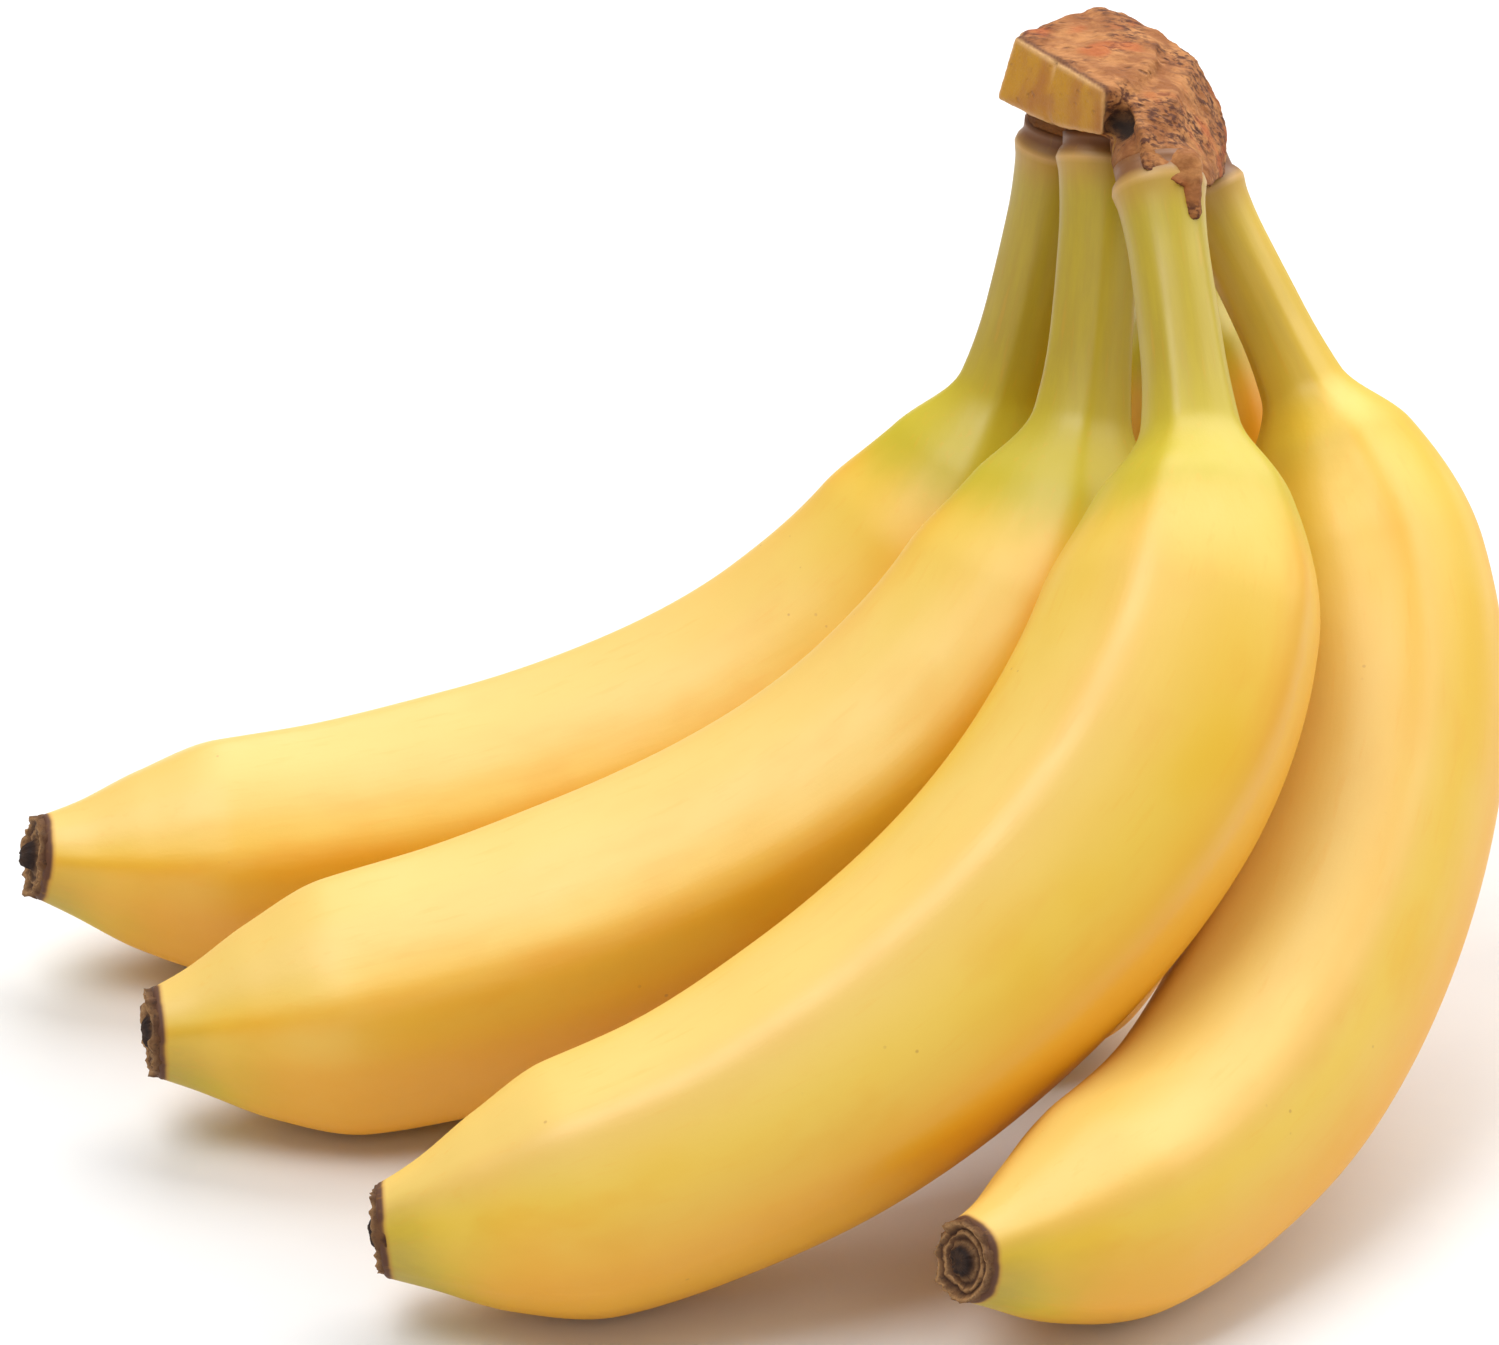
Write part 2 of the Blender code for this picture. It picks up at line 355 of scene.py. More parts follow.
class Surface:
    """A material under construction: each call adds one node and gives its output."""

    def __init__(self, name, **settings):
        self.material = bpy.data.materials.new(name)
        self.material.use_nodes = True
        self.tree = self.material.node_tree
        self.shader = self.tree.nodes["Principled BSDF"]
        for socket, value in settings.items():
            self.shader.inputs[socket.replace("_", " ")].default_value = value

    def node(self, kind, inputs, output, **settings):
        made = self.tree.nodes.new(kind)
        for key, value in settings.items():
            setattr(made, key, value)
        for key, value in inputs.items():
            if isinstance(value, bpy.types.NodeSocket):
                self.tree.links.new(value, made.inputs[key])
            else:
                made.inputs[key].default_value = value
        return made.outputs[output]

    def attribute(self, name, output="Fac"):
        return self.node("ShaderNodeAttribute", {}, output, attribute_name=name)

    def scaled(self, vector, scale):
        return self.node("ShaderNodeMapping", {"Vector": vector, "Scale": scale}, "Vector")

    def noise(self, vector, scale, detail=3.0, roughness=0.5, distortion=0.0):
        inputs = {"Vector": vector, "Scale": scale, "Detail": detail, "Roughness": roughness}
        return self.node("ShaderNodeTexNoise", {**inputs, "Distortion": distortion}, "Fac")

    def cells(self, vector, scale):
        return self.node("ShaderNodeTexVoronoi", {"Vector": vector, "Scale": scale}, "Distance")

    def range(self, value, low, high, to_low=0.0, to_high=1.0):
        inputs = {"Value": value, "From Min": low, "From Max": high, "To Min": to_low, "To Max": to_high}
        return self.node("ShaderNodeMapRange", inputs, "Result", interpolation_type="SMOOTHSTEP")

    def math(self, operation, a, b=0.0):
        return self.node("ShaderNodeMath", {0: a, 1: b}, "Value", operation=operation, use_clamp=True)

    def mix(self, factor, a, b):
        """Colour a with colour b laid over it by the factor. A colour is sRGB bytes or another output."""
        made = self.tree.nodes.new("ShaderNodeMix")
        made.data_type = "RGBA"
        sockets = [s for s in made.inputs if s.enabled]
        for socket, value in zip(sockets, (factor, a, b)):
            if isinstance(value, bpy.types.NodeSocket):
                self.tree.links.new(value, socket)
            else:
                socket.default_value = linear(value) if isinstance(value, tuple) else value
        return next(s for s in made.outputs if s.enabled)

    def bump(self, height, strength, distance, below=None):
        inputs = {"Height": height, "Strength": strength, "Distance": distance}
        if below is not None:
            inputs["Normal"] = below
        return self.node("ShaderNodeBump", inputs, "Normal")

    def finish(self, colour, roughness, normal):
        for socket, value in (("Base Color", colour), ("Roughness", roughness), ("Normal", normal)):
            self.tree.links.new(value, self.shader.inputs[socket])
        return self.material


def skin_material():
    """Satin banana peel: yellow, deeper along the ridges, green at the neck and stained at the tip."""
    s = Surface("banana_skin", Specular_IOR_Level=0.75, Coat_Weight=0.10, Coat_Roughness=0.35)
    straight = s.attribute("straight", "Vector")
    along = s.scaled(straight, (1.0, 1.0, 0.12))
    patches = s.noise(straight, 38.0, 2.0)
    clouds = s.noise(s.scaled(straight, (1.0, 1.0, 0.45)), 120.0, 3.0, 0.55)
    fibres = s.noise(along, 900.0, 4.0, 0.6)
    pores = s.noise(straight, 2600.0, 2.0, 0.5)

    colour = s.mix(s.range(patches, 0.35, 0.68), YELLOW, CREAM)
    colour = s.mix(s.math("MULTIPLY", s.range(clouds, 0.5, 0.75), 0.35), colour, DEEP_YELLOW)
    ridge = s.math("MULTIPLY", s.attribute("ridge"), s.range(clouds, 0.2, 0.7, 0.25, 0.65))
    colour = s.mix(ridge, colour, DEEP_YELLOW)
    # Painted sheen on the skin where it faces up, and painted shade where it faces down.
    colour = s.mix(s.math("MULTIPLY", s.attribute("painted_sheen"), 0.65), colour, PAINTED_SHEEN)
    colour = s.mix(s.math("MULTIPLY", s.attribute("shade"), 0.75), colour, DEEP_YELLOW)
    blurred = s.range(s.math("ADD", s.attribute("green"), s.range(clouds, 0.2, 0.8, -0.12, 0.12)), 0.02, 0.98)
    colour = s.mix(blurred, colour, GREEN_YELLOW)
    neck = s.math("MULTIPLY", s.attribute("neck"), s.range(fibres, 0.3, 0.7, 0.75, 1.0))
    colour = s.mix(neck, colour, OLIVE)
    colour = s.mix(s.attribute("collar"), colour, OCHRE)
    colour = s.mix(s.math("MULTIPLY", s.attribute("lip"), 0.7), colour, RIM)
    # The bare root above each collar: its own brown, deepened as painted shade of the recess under the crown.
    colour = s.mix(s.attribute("root"), colour, ROOT_AND_RECESS_SHADE)
    # The stain round the flower end runs up the skin unevenly.
    uneven = s.range(s.noise(along, 300.0, 2.0, 0.5), 0.3, 0.7, -0.10, 0.10)
    worn = s.math("ADD", s.attribute("stain"), uneven)
    colour = s.mix(s.range(worn, 0.15, 0.95, 0.0, 0.75), colour, STAIN_EDGE)
    colour = s.mix(s.range(worn, 0.55, 1.0), colour, STAIN)
    # Sparse freckles, and faint darker streaks along the fruit.
    specks = s.range(s.cells(straight, 330.0), 0.10, 0.05)
    sparse = s.math("MULTIPLY", specks, s.range(s.noise(straight, 75.0, 1.0), 0.60, 0.68))
    colour = s.mix(s.math("MULTIPLY", sparse, 0.45), colour, FLANK_BROWN)
    streaks = s.math("MULTIPLY", s.range(fibres, 0.56, 0.72), 0.14)
    colour = s.mix(streaks, colour, DEEP_YELLOW)

    rough = s.range(clouds, 0.25, 0.75, 0.43, 0.54)
    rough = s.math("ADD", rough, s.math("MULTIPLY", s.attribute("stain"), 0.35))
    normal = s.bump(fibres, 0.16, 0.0002)
    normal = s.bump(pores, 0.10, 0.00006, normal)
    return s.finish(colour, rough, normal)


def crown_material():
    """The crown: a dried fibrous cut over an uncut ochre flank, with pale rims, and painted shade in a hollow
    and in the recess below the flank.
    """
    s = Surface("crown_wood", Specular_IOR_Level=0.35)
    place = s.node("ShaderNodeTexCoord", {}, "Object")
    grain = s.scaled(place, (0.55, 1.0, 1.0))
    coarse = s.noise(place, 240.0, 4.0, 0.6, 0.6)
    fine = s.noise(grain, 1300.0, 5.0, 0.65)
    pits = s.range(s.cells(grain, 700.0), 0.30, 0.08)
    pits = s.math("MULTIPLY", pits, s.range(s.noise(place, 330.0, 2.0), 0.45, 0.62))

    cut = s.mix(s.range(coarse, 0.38, 0.66), CUT, CUT_LIGHT)
    zones = s.range(s.noise(place, 130.0, 2.0), 0.42, 0.58, 0.15, 1.0)
    worn = s.math("MULTIPLY", s.range(fine, 0.43, 0.60), zones)
    cut = s.mix(worn, cut, CUT_DARK)
    cut = s.mix(s.math("MULTIPLY", s.range(s.noise(place, 150.0, 2.0), 0.56, 0.70), 0.6), cut, RUST)
    cut = s.mix(s.math("MULTIPLY", pits, 0.7), cut, CUT_DARK)

    mottled = s.noise(s.scaled(place, (1.0, 1.0, 0.5)), 260.0, 3.0, 0.5)
    flank = s.mix(s.range(mottled, 0.35, 0.75), FLANK, FLANK_BROWN)
    flank = s.mix(s.math("MULTIPLY", s.range(fine, 0.60, 0.78), 0.35), flank, CUT_DARK)
    colour = s.mix(s.attribute("flank"), cut, flank)
    colour = s.mix(s.math("MULTIPLY", s.attribute("rim"), s.range(coarse, 0.3, 0.6, 0.35, 0.9)), colour, RIM)
    # A dark line along the flank's top edge, with painted shade under the lobe and in the corner above the
    # front stem.
    colour = s.mix(s.attribute("edge_line_and_painted_shade"), colour, CUT_DARK)
    # Painted shade in the recess below the flank.
    colour = s.mix(s.attribute("recess"), colour, ROOT_AND_RECESS_SHADE)
    # Painted shade in the hollow beside the flank's right end.
    colour = s.mix(s.attribute("hollow"), colour, HOLLOW_SHADE)

    rough = s.range(s.attribute("flank"), 0.0, 1.0, 0.78, 0.5)
    normal = s.bump(fine, 0.75, 0.0004)
    normal = s.bump(pits, 0.6, -0.0004, normal)
    return s.finish(colour, rough, normal)


def flower_end_material():
    """Dried flower remains: dark brown with pale papery rims, nearly black in the middle."""
    s = Surface("dried_flower_end", Specular_IOR_Level=0.3)
    place = s.node("ShaderNodeTexCoord", {}, "Object")
    fine = s.noise(place, 1500.0, 5.0, 0.65)
    coarse = s.noise(place, 500.0, 3.0, 0.6)
    colour = s.mix(s.range(coarse, 0.35, 0.65), DRY, DRY_BROWN)
    rims = s.math("MULTIPLY", s.attribute("rim"), s.range(fine, 0.3, 0.6, 0.3, 1.0))
    colour = s.mix(rims, colour, DRY_LIGHT)
    colour = s.mix(s.attribute("middle"), colour, DRY_DARK)
    colour = s.mix(s.math("MULTIPLY", s.range(fine, 0.52, 0.70), 0.6), colour, DRY_DARK)
    rough = s.range(coarse, 0.2, 0.8, 0.7, 0.9)
    return s.finish(colour, rough, s.bump(fine, 0.7, 0.0003))


def floor_material():
    s = Surface("studio_floor", Specular_IOR_Level=0.2)
    place = s.node("ShaderNodeTexCoord", {}, "Object")
    fine = s.noise(place, 60.0, 3.0)
    colour = s.mix(s.range(fine, 0.3, 0.7), FLOOR, FLOOR_SHADE)
    return s.finish(colour, s.range(fine, 0.3, 0.7, 0.75, 0.85), s.bump(fine, 0.02, 0.0005))


# ---- The bananas ----


def ridge_wave(angle):
    return sum(height * np.cos(RIDGES * (k + 1) * angle) for k, height in enumerate(RIDGE_WAVES))


def store_skin_values(piece, banana, shares, angles, phase, upward):
    """Keeps, at each point, how much of each colour the skin has there."""
    end = skin_end(banana)
    column = shares[:, None]
    depth = column * banana.length
    shoulder = STEM_SHARE * banana.stem
    inner_side = 0.5 + 0.5 * np.cos(angles)[None, :]
    outer_side = 1 - inner_side

    neck_green = smooth_step(column - shoulder, NECK_GREEN_FROM, NECK_GREEN_FULL) * banana.green
    tip_green = 0.85 * smooth_step(column, *TIP_GREEN) * (0.08 + 0.92 * outer_side**1.3)
    neck_olive = smooth_step(column - shoulder, NECK_OLIVE_FROM, NECK_OLIVE_FULL)
    neck_olive = neck_olive * (0.55 + 0.45 * inner_side) * 0.8 * banana.green
    tip_olive = 0.7 * smooth_step(column, *TIP_OLIVE) * outer_side**1.5
    values = {
        # Painted light: the skin is paler where it faces up, a painted sheen, and deeper where it faces down,
        # painted shade.
        "painted_sheen": smooth_step(upward, *PAINTED_SHEEN_FACING),
        "shade": smooth_step(upward, *SHADE_FACING),
        "ridge": (0.5 + 0.5 * np.cos(RIDGES * phase)) ** 5 * smooth_step(column, *RIDGE_COLOUR),
        "green": np.maximum(neck_green, tip_green),
        "neck": np.maximum(neck_olive, tip_olive),
        "collar": 0.6 * smooth_step(depth, *COLLAR_COLOUR),
        "root": smooth_step(depth, COLLAR_DEPTH + 0.35, COLLAR_DEPTH - 0.15),
        "lip": bell(depth, COLLAR_DEPTH + 0.55, 0.28),
        "stain": smooth_step(end * banana.length - depth, *STAIN_COLOUR),
    }
    for name, grid in values.items():
        grid = np.broadcast_to(grid, phase.shape)
        # The mesh's two end points take the means of the rows beside them.
        store(piece, name, np.append(grid.ravel(), [grid[0].mean(), grid[-1].mean()]))


def make_skin(banana, look, seed):
    """The skin of one banana, from inside the crown to the rounded edge round its flower end."""
    end = skin_end(banana)
    shares = np.linspace(0, end, RINGS)
    radii = radii_at(banana, shares)
    depth = shares * banana.length  # along the banana from its seat, mm
    radii = radii + COLLAR_HEIGHT * bell(depth, COLLAR_DEPTH + 0.8, 0.9)
    radii = radii + banana.stem_swell * smooth_step(shares, *STEM_SWELL_ENDS)
    radii = radii - ROOT_INSET * smooth_step(depth, COLLAR_DEPTH + 0.3, COLLAR_DEPTH - 0.4)
    # The skin turns in at the flower end along a quarter circle.
    turns = np.linspace(0.2, 1.0, LIP_STEPS) * math.pi / 2
    shares = np.concatenate([shares, end + (LIP * np.sin(turns)) / banana.length, [end, end - 0.01]])
    inner = radii[-1] - LIP * (1 - np.cos(turns))
    radii = np.concatenate([radii, inner, [inner[-1] - 0.3, inner[-1] - 1.2]])
    depth = shares * banana.length

    points, _, inward, sideways = places_at(banana, shares)
    angles = np.arange(SIDES) / SIDES * 2 * math.pi
    first_ridge = np.radians(banana.roll[0] + (banana.roll[1] - banana.roll[0]) * shares)
    phase = angles[None, :] - first_ridge[:, None]
    strength = smooth_step(shares, *RIDGES_SET_IN) * (1 - 0.6 * smooth_step(shares, *RIDGES_FADE))
    section = SECTION_SIZE * (1 + strength[:, None] * ridge_wave(phase))
    cosines, sines = np.cos(angles), np.sin(angles)
    outward = inward[:, None] * cosines[None, :, None] + sideways[:, None] * sines[None, :, None]

    # A straightened copy of each point, the same all round, to hang noise and textures on.
    around = np.stack([cosines, sines], 1)[None] * np.maximum(radii, 5)[:, None, None]
    straight = np.concatenate([around, np.broadcast_to(depth[:, None, None], around.shape[:2] + (1,))], 2)
    dips = noise_at(straight.reshape(-1, 3) * (1, 1, 0.4), DIP_SIZE, seed, 2).reshape(section.shape)
    body = smooth_step(shares, 0.15, 0.3)[:, None]
    reach = radii[:, None] * section - body * UNEVENNESS * (0.5 + 0.5 * np.clip(dips, -1, 1))
    rows = points[:, None] + outward * reach[:, :, None]
    piece = tube_mesh("skin_" + banana.name, rows)

    store_skin_values(piece, banana, shares, angles, phase, outward[:, :, 2])
    ends = [straight[0].mean(0), straight[-1].mean(0)]
    store(piece, "straight", np.concatenate([straight.reshape(-1, 3), ends]) * MM)
    piece.data.materials.append(look)
    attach(piece, "root")
    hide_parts("banana_" + banana.name)


# The dried flower end, from its rim to its middle: radius against the tip's, height in mm, how
# ragged it is, how pale, and how dark.
FLOWER_PROFILE = (
    (0.80, -0.8, 0.0, 0.0, 0.0), (0.95, -0.2, 0.0, 0.0, 0.0), (1.00, 0.5, 0.3, 0.0, 0.1),
    (0.98, 1.3, 0.7, 0.1, 0.2), (0.94, 2.0, 1.0, 0.5, 0.1), (0.89, 2.1, 1.0, 1.0, 0.0),
    (0.83, 1.6, 0.7, 0.3, 0.1), (0.76, 1.1, 0.4, 0.0, 0.4), (0.70, 1.3, 0.4, 0.6, 0.0),
    (0.65, 1.5, 0.5, 0.9, 0.0), (0.60, 1.2, 0.4, 0.3, 0.2), (0.52, 0.9, 0.3, 0.0, 0.4),
    (0.45, 1.2, 0.4, 0.5, 0.2), (0.39, 1.5, 0.4, 0.3, 0.5), (0.34, 1.9, 0.4, 0.0, 0.8),
    (0.30, 2.6, 0.3, 0.0, 1.0), (0.24, 3.2, 0.3, 0.1, 0.9), (0.14, 3.6, 0.2, 0.1, 0.8),
)
FLOWER_SIDES = 96
NUB_RADIUS = 0.36  # inside this share of the tip's radius, the profile is the flower's nub


def make_flower_end(banana, look, seed):
    """The dried flower end: a ragged cup with papery rims inside it and a nub in the middle."""
    end = skin_end(banana)
    (point,), (forward,), (inward,), (sideways,) = places_at(banana, [end])
    tip = radii_at(banana, np.array([end]))[0] - 0.35
    angles = np.arange(FLOWER_SIDES) / FLOWER_SIDES * 2 * math.pi
    circle = np.stack([np.cos(angles), np.sin(angles)], 1)
    rows, pale, dark = [], [], []
    for k, (radius, height, ragged, rim, middle) in enumerate(FLOWER_PROFILE):
        at = np.column_stack([circle * 1.6, np.full(FLOWER_SIDES, k * 0.22)])
        wave = noise_at(at, 1.0, seed, 3)
        torn = noise_at(at * (2.6, 2.6, 1.0), 1.0, seed + 40, 2)
        if radius < NUB_RADIUS:
            height = 1.6 + (height - 1.6) * banana.nub
        rise = 0.8 * height + 0.8 * ragged * (0.9 * wave - 0.35) * 0.9 + ragged * 0.55 * torn
        reach = tip * radius * (1 + 0.13 * wave * (radius < 0.97) + 0.06 * torn)
        rows.append(
            point
            + (inward * circle[:, :1] + sideways * circle[:, 1:]) * reach[:, None]
            + forward * np.minimum(rise, 3.6)[:, None]
        )
        pale.append(np.full(FLOWER_SIDES, rim))
        dark.append(np.full(FLOWER_SIDES, middle))
    piece = tube_mesh("dried_flower_" + banana.name, np.array(rows))
    store(piece, "rim", np.append(np.array(pale).ravel(), [0, 0]))
    store(piece, "middle", np.append(np.array(dark).ravel(), [0, 1]))
    piece.data.materials.append(look)
    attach(piece, "root")
    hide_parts("flower_end_" + banana.name)


# ---- The crown ----

# The uncut flank's upper and lower edges, from its back left corner to the front.
FLANK_TOP = ((34.6, 62.6, 118.4), (33.5, 59.6, 119.1), (38.3, 51.6, 119.0), (44.0, 41.8, 119.3))
FLANK_BOTTOM = ((33.4, 62.0, 110.8), (31.3, 57.6, 111.7), (37.7, 49.6, 111.5), (43.8, 41.2, 113.4))
BLOCK_BACK = (
    (34.9, 64.6, 118.0), (40.1, 68.6, 117.9), (44.9, 70.6, 119.1), (48.9, 68.6, 118.2), (51.9, 64.6, 117.9),
    (51.0, 54.0, 118.6), (48.6, 46.0, 118.0), (36.5, 66.0, 108.0), (46.0, 70.5, 104.0), (53.5, 68.5, 103.0),
    (52.0, 45.0, 111.0),
)
LOBE = (
    (46.5, 46.0, 118.0), (48.4, 36.4, 115.8), (52.9, 44.6, 116.8), (48.9, 68.6, 118.0), (51.9, 64.6, 117.9),
    (56.4, 60.6, 116.0), (58.3, 58.6, 112.4), (60.0, 54.6, 109.7), (48.6, 32.6, 112.6), (53.4, 31.4, 111.0),
    (56.6, 35.0, 108.9), (59.4, 46.6, 105.8), (59.8, 55.0, 103.5), (54.0, 67.0, 102.5), (50.0, 52.0, 107.0),
    (47.2, 42.0, 112.0),
)
CROWN_MIDDLE = (47.0, 55.0, 116.0)
# A stem's root inside the crown: distance above its seat, mm, and its radius against the stem's.
ROOT_OUTLINE = ((-2.0, 0.70), (0.3, 0.86), (3.0, 0.80), (7.0, 0.72))
DRIP_START = 2.0  # down the front stem from its seat, mm
DRIP_LENGTH = 6.2
DRIP_SIDE = Vector((0.60, -0.80, 0.0))
VOXEL = 0.34
HOLLOW_PLACE = (46.4, 41.6, 114.6)  # the hollow beside the flank's right end, darkened with painted shade
HOLLOW_RADIUS = 2.3
HOLLOW_DEPTH = 1.3
SHADED_CORNER = (47.6, 39.5, 110.4)  # under the hollow, above the front stem, where painted shade darkens the crown
SHADED_CORNER_RADIUS = 2.6
COARSE_ROUGHNESS = (3.4, 0.28)  # how wide and how high the crown's lumps are, mm
FINE_ROUGHNESS = (0.9, 0.12)  # and those of its fibres


def hull_points(points):
    """The convex hull of some points, as a bmesh in mm."""
    hull = bmesh.new()
    for point in points:
        hull.verts.new(point)
    made = bmesh.ops.convex_hull(hull, input=hull.verts)
    bmesh.ops.delete(hull, geom=made["geom_interior"], context="VERTS")
    bmesh.ops.recalc_face_normals(hull, faces=hull.faces)
    return hull


def stem_roots():
    """Where each stem runs up into the crown: hulls from just below its seat to inside the block."""
    roots = []
    circle = [(math.cos(a), math.sin(a)) for a in np.arange(16) / 16 * 2 * math.pi]
    for banana in BANANAS:
        (seat,), (forward,), (inward,), (sideways,) = places_at(banana, [0.0])
        radius = radii_at(banana, np.array([0.0]))[0]
        up = unit(np.array(CROWN_MIDDLE) - seat)
        points = []
        for along, share in ROOT_OUTLINE:
            middle = seat + (forward * -along if along < 1 else up * along)
            for c, s in circle:
                points.append(middle + (inward * c + sideways * s) * radius * share)
        roots.append(hull_points(points))
    return roots


def drip():
    """Beads down the front stem, which run together into the dried drip that hangs on it."""
    front = next(banana for banana in BANANAS if banana.name == "front")
    beads = []
    for along in np.linspace(0, 1, 12):
        share = (DRIP_START + along * DRIP_LENGTH) / front.length
        (point,), (forward,), _, _ = places_at(front, [share])
        outward = unit(np.array(DRIP_SIDE) - forward * np.dot(np.array(DRIP_SIDE), forward))
        radius = radii_at(front, np.array([share]))[0]
        size = 2.2 - 0.9 * smooth_step(along, 0.0, 0.6) - 0.15 * smooth_step(along, 0.6, 1.0)
        bead = bmesh.new()
        bmesh.ops.create_icosphere(bead, subdivisions=2, radius=float(size))
        middle = point + outward * (radius - 0.35 * size)
        bmesh.ops.translate(bead, vec=Vector(middle), verts=bead.verts)
        beads.append(bead)
    return beads


def joined(name, shapes):
    """One object from several closed shapes, run together by a voxel remesh."""
    total = bmesh.new()
    for shape in shapes:
        data = bpy.data.meshes.new("shape")
        shape.to_mesh(data)
        total.from_mesh(data)
        shape.free()
        bpy.data.meshes.remove(data)
    data = bpy.data.meshes.new(name)
    total.to_mesh(data)
    total.free()
    made = bpy.data.objects.new(name, data)
    bpy.context.collection.objects.link(made)
    remesh = made.modifiers.new("remesh", "REMESH")
    remesh.mode = "VOXEL"
    remesh.voxel_size = VOXEL
    smooth = made.modifiers.new("smooth", "SMOOTH")
    smooth.factor = 0.5
    smooth.iterations = 2
    graph = bpy.context.evaluated_depsgraph_get()
    baked = bpy.data.meshes.new_from_object(made.evaluated_get(graph))
    made.modifiers.clear()
    made.data = baked
    baked.name = name
    return made


def distance_to_path(points, path):
    """How far each point is from the nearest place on a path of straight runs."""
    nearest = np.full(len(points), np.inf)
    for a, b in zip(np.array(path), np.array(path)[1:]):
        t = np.clip((points - a) @ (b - a) / ((b - a) @ (b - a)), 0, 1)
        nearest = np.minimum(nearest, np.linalg.norm(points - a - t[:, None] * (b - a), axis=1))
    return nearest


def flank_depth(points):
    """How far each point lies in front of the flank's facets, in mm, and its height between their edges."""
    depth = np.full(len(points), -np.inf)
    height = np.zeros(len(points))
    for i in range(len(FLANK_TOP) - 1):
        a, b = np.array(FLANK_BOTTOM[i]), np.array(FLANK_BOTTOM[i + 1])
        c, d = np.array(FLANK_TOP[i]), np.array(FLANK_TOP[i + 1])
        normal = unit(np.cross(b - a, (c + d - a - b) / 2))
        offset = (points - (a + b + c + d) / 4) @ normal
        t = np.clip((points - a) @ (b - a) / ((b - a) @ (b - a)), 0, 1)
        low = a[2] + (b[2] - a[2]) * t
        high = c[2] + (d[2] - c[2]) * t
        nearer = offset > depth
        depth = np.where(nearer, offset, depth)
        height = np.where(nearer, (points[:, 2] - low) / (high - low), height)
    return depth, height


def make_crown(look):
    """The crown: cut block, lobe, stem roots and drip in one, roughened and with its colours stored."""
    shapes = [hull_points(FLANK_TOP + FLANK_BOTTOM + BLOCK_BACK), hull_points(LOBE)]
    crown = joined("cut_crown", shapes + stem_roots() + drip())
    count = len(crown.data.vertices)
    points = np.empty(count * 3)
    normals = np.empty(count * 3)
    crown.data.vertices.foreach_get("co", points)
    crown.data.vertex_normals.foreach_get("vector", normals)
    points, normals = points.reshape(-1, 3), normals.reshape(-1, 3)

    depth, height = flank_depth(points)
    facing = normals @ unit(np.array((-0.8, -0.55, 0.0)))
    flank = smooth_step(depth, -0.9, -0.35) * smooth_step(facing, 0.35, 0.6)
    flank *= (points[:, 0] < 45.2) * (height > -0.05) * (height < 1.1)
    edges = [FLANK_TOP, FLANK_BOTTOM] + [(a, b) for a, b in zip(FLANK_TOP[1:], FLANK_BOTTOM[1:])]
    from_edges = np.min([distance_to_path(points, path) for path in edges], axis=0)
    rim = np.exp(-((from_edges / 0.42) ** 2)) * (points[:, 2] > 110)
    # The hollow is pressed in, and darkened with painted shade.
    from_hollow = np.linalg.norm(points - np.array(HOLLOW_PLACE), axis=1)
    hollow = np.exp(-((from_hollow / HOLLOW_RADIUS) ** 2) * 1.4)
    in_lobe = points[:, 0] > 47.5
    # Below the flank and outside the lobe lies the recess, which gets painted shade.
    under = smooth_step(height, 0.02, -0.08) * ~in_lobe
    recess = under * (points[:, 1] < 66)

    before = points
    rough = 1 - 0.85 * flank
    coarse = noise_at(points, COARSE_ROUGHNESS[0], 3, 4) * COARSE_ROUGHNESS[1]
    grain = noise_at(points * (0.7, 1.0, 1.0), FINE_ROUGHNESS[0], 8, 3) * FINE_ROUGHNESS[1]
    move = (coarse + grain) * rough - HOLLOW_DEPTH * hollow
    # Soft creases run down the flank between its facets.
    crease = distance_to_path(points, (FLANK_TOP[2], FLANK_BOTTOM[2]))
    move = move - 0.35 * np.exp(-((crease / 0.6) ** 2)) * flank
    points = points + normals * move[:, None]
    points[:, 2] = np.minimum(points[:, 2], CAD_BOX[1].z / MM)
    crown.data.vertices.foreach_set("co", (points * MM).ravel())
    crown.data.update()
    crown.data.shade_smooth()
    store(crown, "flank", flank)
    store(crown, "rim", rim)
    store(crown, "hollow", np.clip(hollow * 1.3 - 0.1, 0, 1))
    store(crown, "recess", recess)
    # A dark line just inside the flank's top edge, painted shade on the lobe's underside, and painted shade
    # in the corner above the front stem.
    outline = 0.9 * bell(distance_to_path(before, FLANK_TOP), 0.6, 0.3) * (flank < 0.5)
    lobe_underside_shade = 0.75 * smooth_step(normals[:, 2], -0.05, -0.45) * in_lobe
    corner = 0.8 * bell(np.linalg.norm(before - np.array(SHADED_CORNER), axis=1), 0.0, SHADED_CORNER_RADIUS)
    store(crown, "edge_line_and_painted_shade", np.maximum.reduce([outline, lobe_underside_shade, corner]))
    crown.data.materials.clear()
    crown.data.materials.append(look)
    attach(crown, "root")
    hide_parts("crown")


# ---- Studio ----

CAMERA_ELEVATION = 26.0
CAMERA_DISTANCE = 1.1
CAMERA_LENS = 211.3
AIM_FROM_MIDDLE = Vector((0.0, 0.0242, -0.0117))  # from the middle of the CAD model's box
FLOOR_SIZE = 8.0
WORLD_STRENGTH = 0.25
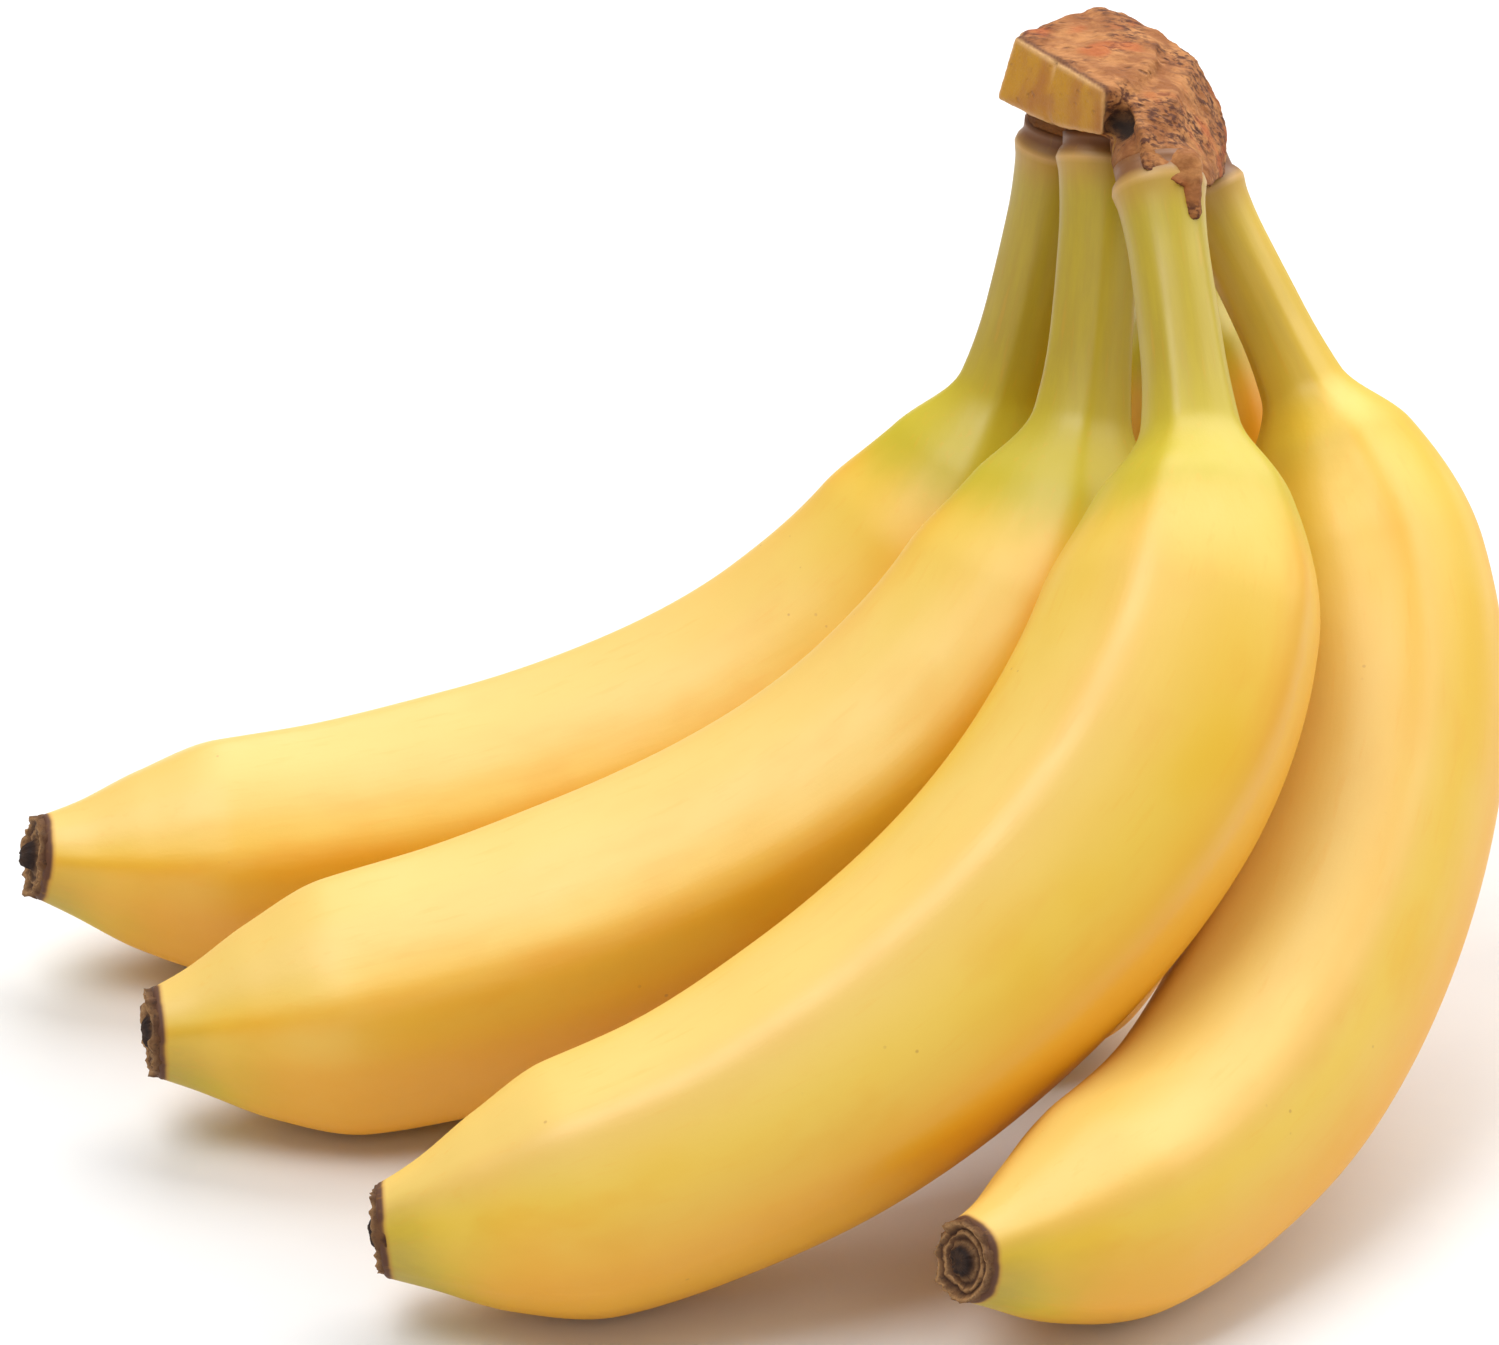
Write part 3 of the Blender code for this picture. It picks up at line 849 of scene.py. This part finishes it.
# Each soft light: where it stands from the middle of the object, its width, and its power.
LIGHTS = {
    "key": ((-0.40, -0.25, 1.10), 0.8, 9.0),
    "back": ((0.25, 0.70, 0.85), 1.2, 13.0),
    "side": ((0.95, 0.15, 0.60), 0.7, 3.5),
    "fill": ((0.20, -1.15, 0.45), 0.9, 2.0),
}


def aimed(made, target):
    made.rotation_euler = (target - made.location).to_track_quat("-Z", "Y").to_euler()


def make_camera(middle):
    data = bpy.data.cameras.new("camera")
    data.lens = CAMERA_LENS
    data.sensor_width = 36.0
    data.clip_end = 20.0
    camera = bpy.data.objects.new("camera", data)
    bpy.context.collection.objects.link(camera)
    target = middle + AIM_FROM_MIDDLE
    tilt = math.radians(CAMERA_ELEVATION)
    camera.location = target + Vector((0, -math.cos(tilt), math.sin(tilt))) * CAMERA_DISTANCE
    aimed(camera, target)
    bpy.context.scene.camera = camera


def make_studio(middle):
    work = bmesh.new()
    bmesh.ops.create_grid(work, x_segments=4, y_segments=4, size=FLOOR_SIZE / 2)
    data = bpy.data.meshes.new("floor")
    work.to_mesh(data)
    work.free()
    data.materials.append(floor_material())
    floor = bpy.data.objects.new("floor", data)
    bpy.context.collection.objects.link(floor)
    for name, (place, width, power) in LIGHTS.items():
        data = bpy.data.lights.new(name, "AREA")
        data.size = width
        data.energy = power
        light = bpy.data.objects.new(name, data)
        bpy.context.collection.objects.link(light)
        light.location = middle + Vector(place)
        light.visible_camera = False
        aimed(light, middle)
    world = bpy.data.worlds.new("studio")
    world.use_nodes = True
    backdrop = world.node_tree.nodes["Background"]
    backdrop.inputs["Color"].default_value = linear(STUDIO_WHITE)
    backdrop.inputs["Strength"].default_value = WORLD_STRENGTH
    scene = bpy.context.scene
    scene.world = world
    scene.view_settings.view_transform = "Standard"
    scene.view_settings.look = "None"


def main():
    middle = (CAD_BOX[0] + CAD_BOX[1]) / 2
    make_camera(middle)
    make_studio(middle)
    skin = skin_material()
    dried = flower_end_material()
    for seed, banana in enumerate(BANANAS, 1):
        make_skin(banana, skin, seed)
        make_flower_end(banana, dried, seed)
    make_crown(crown_material())


main()
